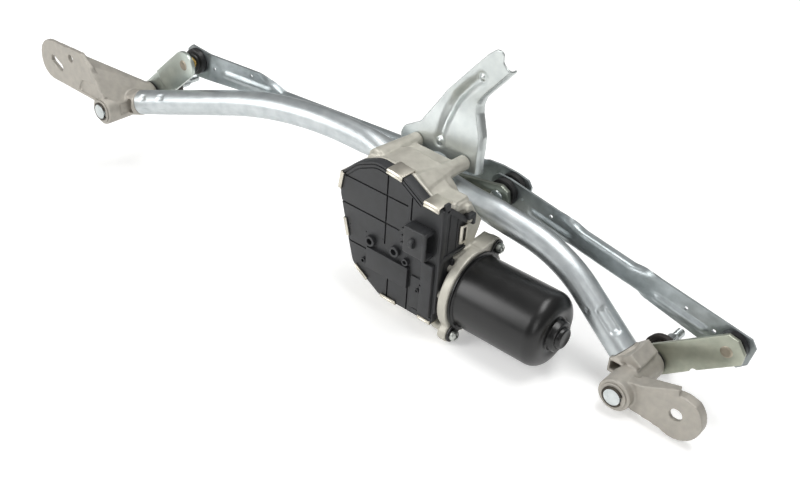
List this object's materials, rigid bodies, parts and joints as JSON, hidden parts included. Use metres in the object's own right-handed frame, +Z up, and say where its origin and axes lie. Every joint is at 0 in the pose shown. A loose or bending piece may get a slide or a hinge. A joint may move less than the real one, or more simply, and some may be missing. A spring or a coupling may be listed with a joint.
{
  "type": "windscreen wiper linkage",
  "caption": "Windscreen wiper linkage: bent tube frame with cast pivots, worm gear motor, crank, link rods, levers and wiper shafts, and a mounting bracket.",
  "frame": {"origin": "On the near flat face of the right pivot's mounting arm, 15 mm inboard of its bolt hole", "axes": "+X along the motor axis towards the right pivot, +Y along the wiper shafts away from the gear cover, +Z up across both"},
  "size_m": [0.6679, 0.1627, 0.2119],
  "materials": {
    "zinc_steel": "zinc plated, satin with bright streaks",
    "yellow_zinc_steel": "zinc plated with a faint yellow cast, satin",
    "gold_zinc_steel": "yellow chromate plate, bright",
    "bright_steel": "machined, bright",
    "cast_aluminium": "die cast, matt",
    "sintered_bronze": "sintered, dull",
    "black_moulding": "moulded, satin",
    "black_rubber": "moulded, dull",
    "natural_nylon": "moulded, satin",
    "black_paint": "gloss paint",
    "copper": "enamelled copper, bright",
    "ferrite": "sintered, dull",
    "nickel_spring": "nickel plated spring steel, bright",
    "circuit_board": "solder mask, satin"
  },
  "bodies": {
    "frame": {"frame_tube": "zinc_steel", "left_pivot_housing": "cast_aluminium", "right_pivot_housing": "cast_aluminium", "left_shaft_bush": "sintered_bronze", "right_shaft_bush": "sintered_bronze", "output_bush": "sintered_bronze", "gear_housing": "cast_aluminium", "gear_cover": "black_moulding", "connector_pins": "nickel_spring", "control_board": "circuit_board", "cover_clip_1": "nickel_spring", "cover_clip_2": "nickel_spring", "cover_clip_3": "nickel_spring", "cover_clip_4": "nickel_spring", "cover_clip_5": "nickel_spring", "cover_clip_6": "nickel_spring", "cover_clip_7": "nickel_spring", "cover_clip_8": "nickel_spring", "motor_can": "black_paint", "upper_motor_screw": "zinc_steel", "lower_motor_screw": "zinc_steel", "motor_magnet": "ferrite", "brush_plate": "black_moulding", "upper_brush": "ferrite", "lower_brush": "ferrite", "end_bearing": "sintered_bronze", "flange_bearing": "sintered_bronze", "upper_bracket": "zinc_steel", "left_bracket_bolt": "zinc_steel", "right_bracket_bolt": "zinc_steel"},
    "armature": {"armature_shaft": "bright_steel", "armature_core": "bright_steel", "armature_winding": "copper", "commutator": "copper"},
    "crank": {"crank_arm": "zinc_steel", "crank_nut": "zinc_steel", "crank_ball_stud": "bright_steel", "output_shaft": "bright_steel", "worm_wheel": "natural_nylon"},
    "left_rod": {"left_link_rod": "zinc_steel", "left_lever_stud": "gold_zinc_steel", "left_lever_socket": "black_moulding", "crank_far_socket": "black_moulding"},
    "right_rod": {"right_link_rod": "zinc_steel", "right_lever_stud": "bright_steel", "right_lever_socket": "black_moulding", "crank_near_socket": "black_moulding"},
    "left_spindle": {"left_lever": "zinc_steel", "left_wiper_shaft": "bright_steel", "left_retainer_washer": "zinc_steel", "left_retaining_clip": "bright_steel", "left_thrust_washer": "black_moulding", "left_seal_cap": "black_rubber"},
    "right_spindle": {"right_lever": "yellow_zinc_steel", "right_wiper_shaft": "bright_steel", "right_retainer_washer": "zinc_steel", "right_retaining_clip": "bright_steel", "right_thrust_washer": "black_moulding", "right_seal_cap": "black_rubber"}
  },
  "joints": [
    {"name": "motor_spin", "type": "hinge", "parent": "frame", "child": "armature", "pos_m": [-0.1604, -0.0008, 0.0152], "axis": [1, 0, 0], "range_deg": [-6240, 0]},
    {"name": "crank_turn", "type": "hinge", "parent": "frame", "child": "crank", "pos_m": [-0.2234, 0.045, 0.062], "axis": [0, -1, 0], "range_deg": [0, 120.02]},
    {"name": "left_rod_swing", "type": "hinge", "parent": "crank", "child": "left_rod", "pos_m": [-0.18066, 0.054, 0.07062], "axis": [0, -1, 0], "range_deg": [-119.49, 0]},
    {"name": "right_rod_swing", "type": "hinge", "parent": "crank", "child": "right_rod", "pos_m": [-0.18066, 0.054, 0.07062], "axis": [0, -1, 0], "range_deg": [-120.79, 0]},
    {"name": "left_wipe", "type": "hinge", "parent": "frame", "child": "left_spindle", "pos_m": [-0.5394, -0.0653, 0.0485], "axis": [0, -1, 0], "range_deg": [0, 64.66]},
    {"name": "right_wipe", "type": "hinge", "parent": "frame", "child": "right_spindle", "pos_m": [-0.0294, -0.007, -0.004], "axis": [0, -1, 0], "range_deg": [0, 72.75]}
  ],
  "couplings": [
    {"joint": "crank_turn", "follows": "motor_spin", "ratio": -0.019231},
    {"joint": "left_rod_swing", "follows": "motor_spin", "ratio": 0.019145},
    {"joint": "right_rod_swing", "follows": "motor_spin", "ratio": 0.019353},
    {"joint": "left_wipe", "follows": "motor_spin", "ratio": -0.01036},
    {"joint": "right_wipe", "follows": "motor_spin", "ratio": -0.011656}
  ]
}
